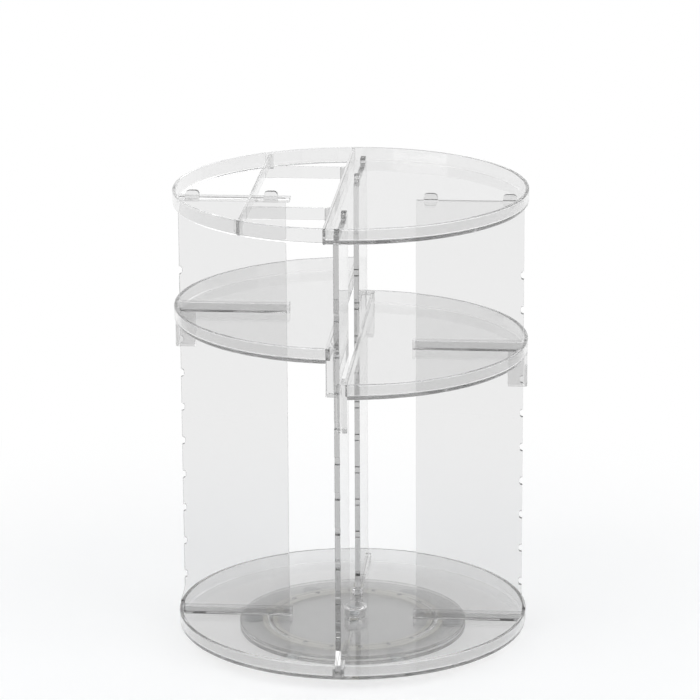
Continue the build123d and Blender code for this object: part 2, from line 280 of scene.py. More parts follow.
foot_plate = turned(
    "foot_plate_disc",
    [
        (SCREW_HEAD_R + SCREW_GAP, foot_low.z, 0),
        (DISC_R, foot_low.z, DISC_EDGE_R),
        (DISC_R, foot_high.z, DISC_EDGE_R),
        *reversed(groove(foot_high.z)),
        (SCREW_HOLE_R, foot_high.z, 0),
        (SCREW_HOLE_R, foot_low.z + SCREW_HEAD_H, 0),
    ],
)
seats = upright_drums(
    "seats", PAD_R + BONDED, foot_low.z - MM, foot_low.z + PAD_SEAT, on_circle(PAD_COUNT, PAD_TRACK_R)
)
joined(foot_plate, "DIFFERENCE", seats)
finished(foot_plate, ACRYLIC, "stand", "foot_plate")

# --- foot pads ---------------------------------------------------------------------------------------
# Six soft pads that keep the tower from sliding. They are die-cut from translucent silicone sheet and
# glued into the recesses under the foot plate.


def silicone():
    """Cut silicone rubber: milky grey, dull, with the fine grain of its moulded sheet."""
    speck = 0.5556 * MM
    material = bpy.data.materials.new("silicone_rubber")
    material.use_nodes = True
    tree = material.node_tree
    body = tree.nodes["Principled BSDF"]
    place = add_node(tree, "ShaderNodeTexCoord", {}, [])
    on_piece = [("Vector", place.outputs["Object"])]
    grain = add_node(tree, "ShaderNodeTexNoise", {"Scale": 1 / speck, "Detail": 3.0}, on_piece)
    bump = add_node(
        tree, "ShaderNodeBump", {"Strength": 0.3, "Distance": 0.1 * MM}, [("Height", grain.outputs["Fac"])]
    )
    tone = add_node(
        tree, "ShaderNodeMapRange", {"To Min": 0.48, "To Max": 0.62}, [("Value", grain.outputs["Fac"])]
    )
    body.inputs["Base Color"].default_value = linear("d6dadb")
    body.inputs["Subsurface Weight"].default_value = 0.3
    body.inputs["Subsurface Radius"].default_value = (2 * MM, 2 * MM, 2 * MM)
    body.inputs["Subsurface Scale"].default_value = 1.0
    body.inputs["IOR"].default_value = 1.41
    tree.links.new(tone.outputs["Result"], body.inputs["Roughness"])
    tree.links.new(bump.outputs["Normal"], body.inputs["Normal"])
    return material


PAD_EDGE_R = 0.25 * MM

pads = upright_drums(
    "silicone_pads",
    PAD_R - BONDED,
    0,
    foot_low.z + PAD_SEAT - BONDED,
    on_circle(PAD_COUNT, PAD_TRACK_R),
    PAD_EDGE_R,
)
finished(pads, silicone(), "stand", "foot_pads")

# --- ball cage and balls -----------------------------------------------------------------------------
# A thin moulded nylon ring with a round pocket for each ball keeps the balls apart. The balls are
# bearing steel, ground and polished, and run loose in the grooves of the two discs.


def nylon():
    """Moulded natural nylon: warm white, waxy sheen, with a faint flow pattern."""
    streak = 2.381 * MM
    material = bpy.data.materials.new("moulded_nylon")
    material.use_nodes = True
    tree = material.node_tree
    body = tree.nodes["Principled BSDF"]
    place = add_node(tree, "ShaderNodeTexCoord", {}, [])
    on_piece = [("Vector", place.outputs["Object"])]
    flow = add_node(tree, "ShaderNodeTexNoise", {"Scale": 1 / streak, "Detail": 4.0}, on_piece)
    tone = add_node(
        tree, "ShaderNodeMapRange", {"To Min": 0.38, "To Max": 0.52}, [("Value", flow.outputs["Fac"])]
    )
    bump = add_node(
        tree, "ShaderNodeBump", {"Strength": 0.2, "Distance": 0.1 * MM}, [("Height", flow.outputs["Fac"])]
    )
    body.inputs["Base Color"].default_value = linear("eceae2")
    body.inputs["Subsurface Weight"].default_value = 0.2
    body.inputs["Subsurface Radius"].default_value = (MM, MM, MM)
    body.inputs["Subsurface Scale"].default_value = 1.0
    body.inputs["IOR"].default_value = 1.53
    tree.links.new(tone.outputs["Result"], body.inputs["Roughness"])
    tree.links.new(bump.outputs["Normal"], body.inputs["Normal"])
    return material


def steel():
    """Bright steel: polished, with fine scratches that spread its highlights a little. Real ones are far
    finer, and are drawn as coarse as they need to show."""
    scratch = 1.111 * MM
    material = bpy.data.materials.new("bright_steel")
    material.use_nodes = True
    tree = material.node_tree
    body = tree.nodes["Principled BSDF"]
    place = add_node(tree, "ShaderNodeTexCoord", {}, [])
    on_piece = [("Vector", place.outputs["Object"])]
    wear = add_node(tree, "ShaderNodeTexNoise", {"Scale": 1 / scratch, "Detail": 6.0}, on_piece)
    tone = add_node(
        tree, "ShaderNodeMapRange", {"To Min": 0.12, "To Max": 0.3}, [("Value", wear.outputs["Fac"])]
    )
    body.inputs["Base Color"].default_value = linear("c9cbcc")
    body.inputs["Metallic"].default_value = 1.0
    tree.links.new(tone.outputs["Result"], body.inputs["Roughness"])
    return material


NYLON = nylon()
STEEL = steel()
BALL_COUNT = 18
cage_low, cage_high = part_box("ball_cage")
CAGE_R_OUT = cage_high.x
CAGE_R_IN = 2 * TRACK_R - CAGE_R_OUT
CAGE_EDGE_R = 0.15 * MM

cage = turned(
    "nylon_ball_cage",
    [
        (CAGE_R_IN, cage_low.z, CAGE_EDGE_R),
        (CAGE_R_OUT, cage_low.z, CAGE_EDGE_R),
        (CAGE_R_OUT, cage_high.z, CAGE_EDGE_R),
        (CAGE_R_IN, cage_high.z, CAGE_EDGE_R),
    ],
)
pockets = upright_drums(
    "pockets", GROOVE_R, cage_low.z - MM, cage_high.z + MM, on_circle(BALL_COUNT, TRACK_R), sides=32
)
joined(cage, "DIFFERENCE", pockets)
finished(cage, NYLON, "ball_ring", "ball_cage")

bm = bmesh.new()
for x, y in on_circle(BALL_COUNT, TRACK_R):
    bmesh.ops.create_icosphere(bm, subdivisions=4, radius=BALL_R, matrix=Matrix.Translation((x, y, BALL_Z)))
balls = made("steel_balls", bm)
finished(balls, STEEL, "ball_ring", "bearing_balls")

# --- race disc ---------------------------------------------------------------------------------------
# The upper disc of the turntable, the foot plate's twin: clear acrylic with the other half of the ball
# groove in its underside. It is solvent-bonded under the base tray and turns with it.

race_low, race_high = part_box("race_disc")
BUSH_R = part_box("hub_bush")[1].x
race_top = race_high.z - BONDED

race_disc = turned(
    "race_disc_ring",
    [
        (BUSH_R + BONDED, race_low.z, 0),
        *groove(race_low.z),
        (DISC_R, race_low.z, DISC_EDGE_R),
        (DISC_R, race_top, DISC_EDGE_R),
        (BUSH_R + BONDED, race_top, 0),
    ],
)
finished(race_disc, ACRYLIC, "carousel", "race_disc")

# --- pivot -------------------------------------------------------------------------------------------
# A countersunk steel screw stands up through the foot plate. A nylon bush in the tray's hub turns on
# it, and a washer and a hexagon nut hold the two discs together.

screw_low, screw_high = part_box("pivot_screw")
washer_low, washer_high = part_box("pivot_washer")
nut_low, nut_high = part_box("pivot_nut")
bush_low, bush_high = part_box("hub_bush")
THREAD_PITCH = 0.7 * MM
THREAD_DEPTH = 0.36 * MM
THREAD_STEPS = 32
SCREW_STEPS = 64
COLLAR_STEPS = 96
KEY_FLATS = 2.5 * MM
KEY_DEPTH = 1.2 * MM
HEAD_EDGE_R = 0.1 * MM
SHANK_EDGE_R = 0.2 * MM
TIP_EDGE_R = 0.3 * MM
thread_from = washer_low.z
core_r = SCREW_R - THREAD_DEPTH

screw = turned(
    "pivot_screw_m4",
    [
        (0, screw_low.z, 0),
        (SCREW_HEAD_R, screw_low.z, HEAD_EDGE_R),
        (SCREW_R, screw_low.z + SCREW_HEAD_H, SHANK_EDGE_R),
        (SCREW_R, thread_from, SHANK_EDGE_R),
        (core_r, thread_from + THREAD_DEPTH, 0),
        (core_r, screw_high.z, TIP_EDGE_R),
        (0, screw_high.z, 0),
    ],
    steps=SCREW_STEPS,
)
key = upright_drums(
    "key", KEY_FLATS / math.sqrt(3), screw_low.z - MM, screw_low.z + KEY_DEPTH, [(0, 0)], sides=6
)
joined(screw, "DIFFERENCE", key)

bm = bmesh.new()
turns = (screw_high.z - thread_from - 1.5 * THREAD_PITCH) / THREAD_PITCH
foot_in = core_r - 0.05 * MM  # the ridge's foot, sunk a little into the core
ridge = [
    bm.verts.new((foot_in, 0, thread_from + 0.1 * THREAD_PITCH)),
    bm.verts.new((SCREW_R, 0, thread_from + 0.5 * THREAD_PITCH)),
    bm.verts.new((foot_in, 0, thread_from + 0.9 * THREAD_PITCH)),
]
start = bm.faces.new(ridge)
steps = int(THREAD_STEPS * turns)
bmesh.ops.spin(
    bm,
    geom=[start],
    cent=(0, 0, 0),
    axis=(0, 0, 1),
    dvec=(0, 0, turns * THREAD_PITCH / steps),
    angle=2 * math.pi * turns,
    steps=steps,
)
bmesh.ops.recalc_face_normals(bm, faces=bm.faces)
thread = bpy.data.meshes.new("thread")
bm.to_mesh(thread)
bm.free()
bm = bmesh.new()
bm.from_mesh(screw.data)
bm.from_mesh(thread)
bm.to_mesh(screw.data)
bm.free()
finished(screw, STEEL, "stand", "pivot_screw", sharp=25)

BUSH_BORE_R = SCREW_R + 0.05 * MM
BORE_EDGE_R = 0.1 * MM
BUSH_EDGE_R = 0.2 * MM
bush = turned(
    "hub_bush_nylon",
    [
        (BUSH_BORE_R, bush_low.z, BORE_EDGE_R),
        (BUSH_R - BONDED, bush_low.z, BUSH_EDGE_R),
        (BUSH_R - BONDED, bush_high.z, BUSH_EDGE_R),
        (BUSH_BORE_R, bush_high.z, BORE_EDGE_R),
    ],
    steps=COLLAR_STEPS,
)
finished(bush, NYLON, "carousel", "hub_bush")

BURR_SIDE_R = 0.1 * MM  # a stamped washer is sharper on one side
PUNCH_SIDE_R = 0.25 * MM
washer = turned(
    "flat_washer",
    [
        (SCREW_HOLE_R, washer_low.z, BURR_SIDE_R),
        (washer_high.x, washer_low.z, BURR_SIDE_R),
        (washer_high.x, washer_high.z - BONDED, PUNCH_SIDE_R),
        (SCREW_HOLE_R, washer_high.z - BONDED, PUNCH_SIDE_R),
    ],
    steps=COLLAR_STEPS,
)
finished(washer, STEEL, "stand", "pivot_washer")

NUT_FLATS = nut_high.y - nut_low.y
NUT_CHAMFER = 0.35 * MM
LEAD_IN = 0.4 * MM
corner_r = NUT_FLATS / math.sqrt(3)
face_r = NUT_FLATS / 2 - 0.1 * MM
nut = upright_drums("pivot_nut_hex", corner_r, nut_low.z, nut_high.z, [(0, 0)], sides=6)
chamfers = turned(
    "chamfers",
    [
        (0, nut_low.z, 0),
        (face_r, nut_low.z, 0),
        (corner_r, nut_low.z + NUT_CHAMFER, 0),
        (corner_r, nut_high.z - NUT_CHAMFER, 0),
        (face_r, nut_high.z, 0),
        (0, nut_high.z, 0),
    ],
    steps=COLLAR_STEPS,
)
joined(nut, "INTERSECT", chamfers)
bore = turned(
    "bore",
    [
        (0, nut_low.z - MM, 0),
        (SCREW_R + BONDED, nut_low.z - MM, 0),
        (SCREW_R + BONDED, nut_high.z + 0.1 * MM - LEAD_IN, 0),
        (SCREW_R + LEAD_IN, nut_high.z + 0.1 * MM, 0),
        (0, nut_high.z + 0.1 * MM, 0),
    ],
    steps=SCREW_STEPS,
)
joined(nut, "DIFFERENCE", bore)
finished(nut, STEEL, "stand", "pivot_nut", sharp=20)

# --- nut cap -----------------------------------------------------------------------------------------
# A small round cap, moulded in the same clear acrylic and pressed over the tray's hub. It keeps dust and
# bottles off the nut.

cap_low, cap_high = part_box("nut_cap")
CAP_T = 1.5 * MM
CAP_EDGE_R = 1.4 * MM
CAP_FOOT_R = 0.3 * MM
CAP_INNER_R = 0.6 * MM
CAP_STEPS = 128
cap_r_in = cap_high.x - CAP_T + BONDED

cap = turned(
    "nut_cap_dome",
    [
        (cap_r_in, cap_low.z + BONDED, 0),
        (cap_high.x, cap_low.z + BONDED, CAP_FOOT_R),
        (cap_high.x, cap_high.z, CAP_EDGE_R),
        (0, cap_high.z, 0),
        (0, cap_high.z - CAP_T, 0),
        (cap_r_in, cap_high.z - CAP_T, CAP_INNER_R),
    ],
    steps=CAP_STEPS,
)
finished(cap, ACRYLIC, "carousel", "nut_cap")

# --- base tray ---------------------------------------------------------------------------------------
# A round pan, moulded in one with its upright band, a low hub and four ribbed sockets. Each panel's
# foot stands in a socket and comes out through a slit in the band.

base_low, base_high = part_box("base_tray")
RING_R = base_high.x
BAND_H = base_high.z - base_low.z
BAND_T = 2.4 * MM
FLOOR_T = 2.4 * MM
EDGE_R = 3.0 * MM
RIM_R = 0.9 * MM
INNER_R = 1.2 * MM
CORNER_R = 0.35 * MM  # softening along moulded edges
BAND_R_IN = RING_R - BAND_T
BAND_MIDDLE = RING_R - BAND_T / 2
PANEL_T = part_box("panel_right")[1].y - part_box("panel_right")[0].y
PANEL_R_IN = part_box("panel_right")[0].x
PANEL_EDGE_GAP = 0.4 * MM
PANEL_R_OUT = BAND_R_IN - PANEL_EDGE_GAP
PANEL_FIT = 0.1 * MM
SLOT_HALF = PANEL_T / 2 + PANEL_FIT
TAB_W = 9.0 * MM
TAB_INSET = 9.5 * MM
TAB_RADII = (PANEL_R_IN + TAB_INSET, PANEL_R_OUT - TAB_INSET)
HUB_R = cap_high.x - CAP_T
HUB_H = 1.0 * MM
HUB_EDGE_R = 0.2 * MM
SOCKET_H = 5.0 * MM
SOCKET_T = 1.8 * MM
QUARTERS = (0, 90, 180, 270)


def block(name, x, y, z, edge=0.0, turns=(0,)):
    """A block between its limits along each axis, with rounded edges, copied at turns about the axis."""
    bm = bmesh.new()
    for turn in turns:
        cube = bmesh.ops.create_cube(bm, size=1.0)["verts"]
        bmesh.ops.scale(bm, verts=cube, vec=(x[1] - x[0], y[1] - y[0], z[1] - z[0]))
        bmesh.ops.translate(bm, verts=cube, vec=((x[0] + x[1]) / 2, (y[0] + y[1]) / 2, (z[0] + z[1]) / 2))
        bmesh.ops.rotate(bm, verts=cube, cent=(0, 0, 0), matrix=Matrix.Rotation(math.radians(turn), 3, "Z"))
    if edge:
        bmesh.ops.bevel(
            bm, geom=bm.edges[:], offset=edge, affect="EDGES", segments=3, profile=0.5, material=-1
        )
    return made(name, bm)


def round_pan(name, z_low, hub=None):
    """Floor and band in one: rounded lower edge, softened rim, small fillet inside, and a hub if given."""
    z_floor = z_low + FLOOR_T
    z_rim = z_low + BAND_H
    middle = hub or [(0, z_floor, 0)]
    return turned(
        name,
        [
            (middle[-1][0], z_low, 0),
            (RING_R, z_low, EDGE_R),
            (RING_R, z_rim, RIM_R),
            (BAND_R_IN, z_rim, RIM_R),
            (BAND_R_IN, z_floor, INNER_R),
            *middle,
        ],
    )


def tab_slots(z_low):
    """Cutters for the slots that take the tabs of all four panels, a hair narrower than the slits above."""
    half = TAB_W / 2 + PANEL_FIT
    y_slot = (BONDED - SLOT_HALF, SLOT_HALF - BONDED)
    z = (z_low - MM, z_low + FLOOR_T + MM)
    return [block("slots", (r - half, r + half), y_slot, z, turns=QUARTERS) for r in TAB_RADII]


base_floor = base_low.z + FLOOR_T
socket_half = SLOT_HALF + SOCKET_T
socket_inner = PANEL_R_IN - PANEL_FIT - SOCKET_T

base_tray = round_pan(
    "base_tray_pan",
    base_low.z,
    hub=[
        (HUB_R - BONDED, base_floor, 0),
        (HUB_R - BONDED, base_floor + HUB_H, HUB_EDGE_R),
        (BUSH_R, base_floor + HUB_H, 0),
    ],
)
ribs = block(
    "ribs",
    (socket_inner, BAND_MIDDLE),
    (-socket_half, socket_half),
    (base_floor - MM, base_floor + SOCKET_H),
    CORNER_R,
    QUARTERS,
)
joined(base_tray, "UNION", ribs)
slits = block(
    "slits",
    (PANEL_R_IN - PANEL_FIT, RING_R + BAND_T),
    (-SLOT_HALF, SLOT_HALF),
    (base_floor, base_high.z + MM),
    turns=QUARTERS,
)
joined(base_tray, "DIFFERENCE", slits, *tab_slots(base_low.z))
finished(base_tray, ACRYLIC, "carousel", "base_tray")

# --- upright panels ----------------------------------------------------------------------------------
# Four equal plates of clear acrylic, 3.5 mm thick, with their edges flame-polished. Two tabs above and
# two below lock each into the trays, and the row of notches in the outer edge sets the tray heights.

PANEL_ACRYLIC = clear_acrylic("clear_acrylic_plate", 36.0)
panel_low, panel_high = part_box("panel_right")
top_low, top_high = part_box("top_tray")
TAB_TIP_R = 2.6 * MM
FLARE_H = 10.0 * MM
FLARE_R = 12.0 * MM
PANEL_CORNER_R = 0.8 * MM
POLISHED_R = 0.25 * MM
TAB_ROOT_R = 0.4 * MM
NOTCH_CORNER_R = 0.4 * MM
NOTCH_COUNT = 10
NOTCH_PITCH = 23.2 * MM
NOTCH_DEPTH = 2.0 * MM
NOTCH_HALF = 2.45 * MM
CATCH_DROP = 17.0 * MM
LEFT_LEVEL = 7
lowest_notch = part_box("left_tray")[1].z - BAND_H - LEFT_LEVEL * NOTCH_PITCH - CATCH_DROP

z_foot = base_floor + BONDED
z_top = top_low.z - BONDED
half_tab = TAB_W / 2
corners = [(PANEL_R_IN, z_foot, 0)]
for r in TAB_RADII:
    corners += [
        (r - half_tab, z_foot, 0),
        (r - half_tab, panel_low.z, TAB_ROOT_R),
        (r + half_tab, panel_low.z, TAB_ROOT_R),
        (r + half_tab, z_foot, 0),
    ]
corners += [
    (RING_R, z_foot, 0),
    (RING_R, base_high.z, PANEL_CORNER_R),
    (PANEL_R_OUT, base_high.z + FLARE_H, FLARE_R),
]
notch_r = 0.96 * NOTCH_DEPTH - NOTCH_CORNER_R  # as round as leaves a hair of straight side
for level in range(NOTCH_COUNT):
    z = lowest_notch + level * NOTCH_PITCH
    corners += [
        (PANEL_R_OUT, z - NOTCH_HALF, NOTCH_CORNER_R),
        (PANEL_R_OUT - NOTCH_DEPTH, z - NOTCH_HALF, notch_r),
        (PANEL_R_OUT - NOTCH_DEPTH, z + NOTCH_HALF, notch_r),
        (PANEL_R_OUT, z + NOTCH_HALF, NOTCH_CORNER_R),
    ]
corners.append((PANEL_R_OUT, z_top, PANEL_CORNER_R))
for r in reversed(TAB_RADII):
    corners += [
        (r + half_tab, z_top, 0),
        (r + half_tab, panel_high.z, TAB_TIP_R),
        (r - half_tab, panel_high.z, TAB_TIP_R),
        (r - half_tab, z_top, 0),
    ]
corners.append((PANEL_R_IN, z_top, PANEL_CORNER_R))

for side, turn in (("right", 0), ("back", 90), ("left", 180), ("front", 270)):
    bm = bmesh.new()
    plate = outlined(bm, corners)
    bmesh.ops.translate(bm, verts=bm.verts, vec=(0, -PANEL_T / 2, 0))
    grown = bmesh.ops.extrude_face_region(bm, geom=plate)["geom"]
    far = [v for v in grown if isinstance(v, bmesh.types.BMVert)]
    bmesh.ops.translate(bm, verts=far, vec=(0, PANEL_T, 0))
    bmesh.ops.recalc_face_normals(bm, faces=bm.faces)
    around = [edge for edge in bm.edges if abs(edge.verts[0].co.y - edge.verts[1].co.y) < BONDED]
    bmesh.ops.bevel(
        bm,
        geom=around,
        offset=POLISHED_R,
        affect="EDGES",
        segments=3,
        profile=0.5,
        material=-1,
        clamp_overlap=False,
    )
    bmesh.ops.rotate(bm, verts=bm.verts, cent=(0, 0, 0), matrix=Matrix.Rotation(math.radians(turn), 3, "Z"))
    panel = made(f"notched_panel_{side}", bm)
    finished(panel, PANEL_ACRYLIC, "carousel", f"panel_{side}")

# --- half trays --------------------------------------------------------------------------------------
# Two half-round trays, mirror images of each other, moulded in clear acrylic. Each has a straight side
# along the middle of the tower, a walled slot for the side panel and a hanging guide at both ends.

SLIDE_GAP = 0.35 * MM
CHORD_X = 4.5 * MM
CHORD_T = 2.2 * MM
COAMING_H = 6.0 * MM
COAMING_T = 1.8 * MM
GUIDE_L = 12.0 * MM
LIP_GAP = 0.6 * MM
BEYOND = 2 * RING_R  # well past the tower on any side, for cutters
slide_half = PANEL_T / 2 + SLIDE_GAP


def half_tray(name, z_low, z_hang):
    """The right half tray, straight side at CHORD_X, with its end guides down to z_hang. Faces of the
    joined shapes that would share a plane are a hair apart."""
    z_floor = z_low + FLOOR_T
    z_rim = z_low + BAND_H
    side_x = CHORD_X + CHORD_T
    slot_inner = PANEL_R_IN - SLIDE_GAP
    reach = math.sqrt(BAND_MIDDLE**2 - side_x**2)
    coaming_half = slide_half + COAMING_T
    tray = round_pan(name, z_low)
    keep = block("keep", (CHORD_X + BONDED, BEYOND), (-BEYOND, BEYOND), (z_low - MM, z_rim + MM))
    joined(tray, "INTERSECT", keep)
    z_straight = (z_low + BONDED, z_rim - BONDED)
    straight = block("straight", (CHORD_X, side_x), (-reach, reach), z_straight, CORNER_R)
    coaming = block(
        "coaming",
        (slot_inner - COAMING_T, BAND_MIDDLE),
        (-coaming_half, coaming_half),
        (z_low + MM, z_floor + COAMING_H),
        CORNER_R,
    )
    joined(tray, "UNION", straight, coaming)
    z_guide = (z_hang, z_rim - 2 * BONDED)
    z_lip = (z_hang + BONDED, z_rim - 3 * BONDED)
    for end in (-1, 1):
        y_runner = sorted((end * (PANEL_R_OUT - GUIDE_L), end * BEYOND))
        y_lip = sorted((end * (PANEL_R_OUT + SLIDE_GAP), end * 1.05 * BEYOND))
        guide = block("guide", (slide_half, side_x - BONDED), y_runner, z_guide, CORNER_R)
        lip = block("lip", (LIP_GAP / 2, side_x - CORNER_R), y_lip, z_lip, CORNER_R)
        joined(guide, "UNION", lip)
        limit = upright_drums(
            "limit", RING_R - BONDED, z_hang - MM, z_rim + MM, [(0, 0)], sides=RING_STEPS
        )
        joined(guide, "INTERSECT", limit)
        joined(tray, "UNION", guide)
    slot = block(
        "slot", (slot_inner, BAND_R_IN), (-slide_half, slide_half), (z_low - MM, z_floor + COAMING_H + MM)
    )
    joined(tray, "DIFFERENCE", slot)
    return tray


def mirrored(piece):
    """The same piece on the left-hand side."""
    bm = bmesh.new()
    bm.from_mesh(piece.data)
    bmesh.ops.scale(bm, verts=bm.verts, vec=(-1, 1, 1))
    bmesh.ops.reverse_faces(bm, faces=bm.faces)
    bm.to_mesh(piece.data)
    bm.free()
    return piece


for side in ("right", "left"):
    tray_low, tray_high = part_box(f"{side}_tray")
    tray = half_tray(f"{side}_half_tray_pan", tray_high.z - BAND_H, tray_low.z)
    if side == "left":
        mirrored(tray)
    finished(tray, ACRYLIC, f"{side}_half_tray", f"{side}_tray")

# --- guide sleeves -----------------------------------------------------------------------------------
# A small clear block is bonded under each half tray, round the outer edge of the side panel. A springy
# tongue in its back carries the round catch that snaps into the panel's notches.

SLEEVE_GRIP = 10.0 * MM
SLEEVE_BACK_GAP = 0.9 * MM
SLEEVE_CORNER_R = 1.0 * MM
CATCH_R = 2.2 * MM
CATCH_W = 2.4 * MM
CATCH_STEPS = 48
TONGUE_L = 14.0 * MM
TONGUE_SLIT = 0.8 * MM
SLIT_OVERLAP = 0.2 * MM


def guide_sleeve(name, z_low, z_high, back, cheek):
    """The right-hand sleeve: cheeks on both sides of the panel, back, tongue and catch."""
    front = PANEL_R_OUT - SLEEVE_GRIP
    inside = PANEL_R_OUT + SLEEVE_BACK_GAP
    bm = bmesh.new()
    section = outlined(
        bm,
        [
            (front, -cheek, SLEEVE_CORNER_R),
            (back, -cheek, SLEEVE_CORNER_R),
            (back, cheek, SLEEVE_CORNER_R),
            (front, cheek, SLEEVE_CORNER_R),
        ],
    )
    bmesh.ops.rotate(bm, verts=bm.verts, cent=(0, 0, 0), matrix=Matrix.Rotation(math.pi / 2, 3, "X"))
    bmesh.ops.translate(bm, verts=bm.verts, vec=(0, 0, z_low))
    grown = bmesh.ops.extrude_face_region(bm, geom=section)["geom"]
    bmesh.ops.translate(
        bm, verts=[v for v in grown if isinstance(v, bmesh.types.BMVert)], vec=(0, 0, z_high - z_low)
    )
    sleeve = made(name, bm)
    hollow = block("hollow", (front - MM, inside), (-slide_half, slide_half), (z_low - MM, z_high + MM))
    joined(sleeve, "DIFFERENCE", hollow)
    bm = bmesh.new()
    place = Matrix.Translation((PANEL_R_OUT + SLIDE_GAP + CATCH_R, 0, z_high + BONDED - CATCH_DROP))
    bmesh.ops.create_cone(
        bm,
        cap_ends=True,
        segments=CATCH_STEPS,
        radius1=CATCH_R,
        radius2=CATCH_R,
        depth=CATCH_W,
        matrix=place @ Matrix.Rotation(math.pi / 2, 4, "X"),
    )
    nose = made("nose", bm)
    within = block("within", (front, back - BONDED), (-cheek, cheek), (z_low, z_high))
    joined(nose, "INTERSECT", within)
    joined(sleeve, "UNION", nose)
    for end in (-1, 1):
        y_slit = sorted((end * CATCH_W / 2, end * (CATCH_W / 2 + TONGUE_SLIT)))
        slit = block("slit", (inside - SLIT_OVERLAP, RING_R + MM), y_slit, (z_low - MM, z_low + TONGUE_L))
        joined(sleeve, "DIFFERENCE", slit)
    return sleeve


for side in ("right", "left"):
    sleeve_low, sleeve_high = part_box(f"{side}_tray_sleeve")
    back = max(abs(sleeve_low.x), abs(sleeve_high.x))
    sleeve = guide_sleeve(
        f"{side}_guide_sleeve", sleeve_low.z, sleeve_high.z - BONDED, back, sleeve_high.y
    )
    if side == "left":
        mirrored(sleeve)
    finished(sleeve, ACRYLIC, f"{side}_half_tray", f"{side}_tray_sleeve")

# --- top tray ----------------------------------------------------------------------------------------
# The top tray is one moulding: a full round band, a floor in its right half only, a strip that takes
# the left panel's tabs, and small sockets for the divider. The other half is open to the tray below.

OPEN_EDGE_X = -8.0 * MM
STRIP_W = 10.0 * MM
STRIP_PAST_PANEL = 3.0 * MM
STRIP_INNER = PANEL_R_IN - STRIP_PAST_PANEL
DIVIDER_T = 1.8 * MM
DIVIDER_X = -62.0 * MM
DIVIDER_Y = 57.0 * MM
DIVIDER_SOCKET_L = 3.5 * MM
DIVIDER_SOCKET_T = 1.4 * MM
DIVIDER_LEDGE_T = 1.6 * MM
SOCKET_ROOT = 0.5 * MM  # how far a socket and its slot are from ending in the same face
play_half = DIVIDER_T / 2 + SLIDE_GAP
socket_wall = play_half + DIVIDER_SOCKET_T
socket_top = top_high.z - RIM_R
top_rim = top_low.z + BAND_H
wall_end = math.sqrt(BAND_R_IN**2 - DIVIDER_X**2)

top_tray = round_pan("top_tray_ring", top_low.z)
fillet_top = top_low.z + FLOOR_T + INNER_R
opening = upright_drums(
    "opening", BAND_R_IN + BONDED, top_low.z - MM, fillet_top, [(0, 0)], sides=RING_STEPS
)
open_side = block("open_side", (-BEYOND, OPEN_EDGE_X), (-BEYOND, BEYOND), (top_low.z - 2 * MM, top_rim))
joined(opening, "INTERSECT", open_side)
joined(top_tray, "DIFFERENCE", opening)
edge_reach = math.sqrt(BAND_MIDDLE**2 - OPEN_EDGE_X**2)
x_edge = (OPEN_EDGE_X, OPEN_EDGE_X + DIVIDER_T)
x_strip = (-BAND_MIDDLE, -STRIP_INNER)
y_strip = (-STRIP_W / 2, STRIP_W / 2)
z_strip = (top_low.z, top_low.z + FLOOR_T)
additions = [
    block("edge_wall", x_edge, (-edge_reach, edge_reach), (top_low.z, top_rim), CORNER_R),
    block("strip", x_strip, y_strip, z_strip, CORNER_R),
]
cuts = []
for end in (-1, 1):
    deep_y = math.sqrt(BAND_MIDDLE**2 - (abs(DIVIDER_X) + socket_wall) ** 2)
    y_socket = sorted((end * (wall_end - DIVIDER_SOCKET_L), end * deep_y))
    y_slot = sorted((end * (wall_end - DIVIDER_SOCKET_L - MM), end * (wall_end - SOCKET_ROOT)))
    x_socket = (DIVIDER_X - socket_wall, DIVIDER_X + socket_wall)
    x_slot = (DIVIDER_X - play_half, DIVIDER_X + play_half)
    z_slot = (top_low.z + DIVIDER_LEDGE_T, top_rim + MM)
    additions.append(block("long_socket", x_socket, y_socket, (top_low.z, socket_top), CORNER_R))
    cuts.append(block("long_slot", x_slot, y_slot, z_slot))
    y_cross = end * DIVIDER_Y
    x_cross = (OPEN_EDGE_X - DIVIDER_SOCKET_L, OPEN_EDGE_X + SOCKET_ROOT)
    y_wide = (y_cross - socket_wall, y_cross + socket_wall)
    y_narrow = (y_cross - play_half, y_cross + play_half)
    additions.append(block("cross_socket", x_cross, y_wide, (top_low.z, socket_top), CORNER_R))
    cuts.append(block("cross_slot", (x_cross[0] - MM, OPEN_EDGE_X), y_narrow, z_slot))
joined(top_tray, "UNION", *additions)
joined(top_tray, "DIFFERENCE", *cuts, *tab_slots(top_low.z))
finished(top_tray, ACRYLIC, "carousel", "top_tray")

# --- brush divider -----------------------------------------------------------------------------------
# A loose insert of thin clear walls, one long and two across, hangs in the sockets of the open half
# and lifts out. It keeps brushes and tubes upright.

DIVIDER_EDGE_R = 0.4 * MM
BRIDGE_GAP = 0.1 * MM  # over the strip
divider_low, divider_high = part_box("brush_divider")
wall_half = DIVIDER_T / 2
long_reach = math.sqrt((BAND_R_IN - SLIDE_GAP) ** 2 - (abs(DIVIDER_X) + wall_half) ** 2)
z_walls = (divider_low.z, divider_high.z)
x_long = (DIVIDER_X - wall_half, DIVIDER_X + wall_half)
divider = block("brush_divider_walls", x_long, (-long_reach, long_reach), z_walls, DIVIDER_EDGE_R)
for end in (-1, 1):
    x_cross = (DIVIDER_X, OPEN_EDGE_X - SLIDE_GAP)
    y_cross = (end * DIVIDER_Y - wall_half, end * DIVIDER_Y + wall_half)
    joined(divider, "UNION", block("cross", x_cross, y_cross, z_walls, DIVIDER_EDGE_R))
over_strip = STRIP_W / 2 + SLIDE_GAP
bridge = block(
    "bridge",
    (DIVIDER_X - DIVIDER_T, DIVIDER_X + DIVIDER_T),
    (-over_strip, over_strip),
    (top_low.z - MM, top_low.z + FLOOR_T + BRIDGE_GAP),
)
joined(divider, "DIFFERENCE", bridge)
finished(divider, ACRYLIC, "divider", "brush_divider")

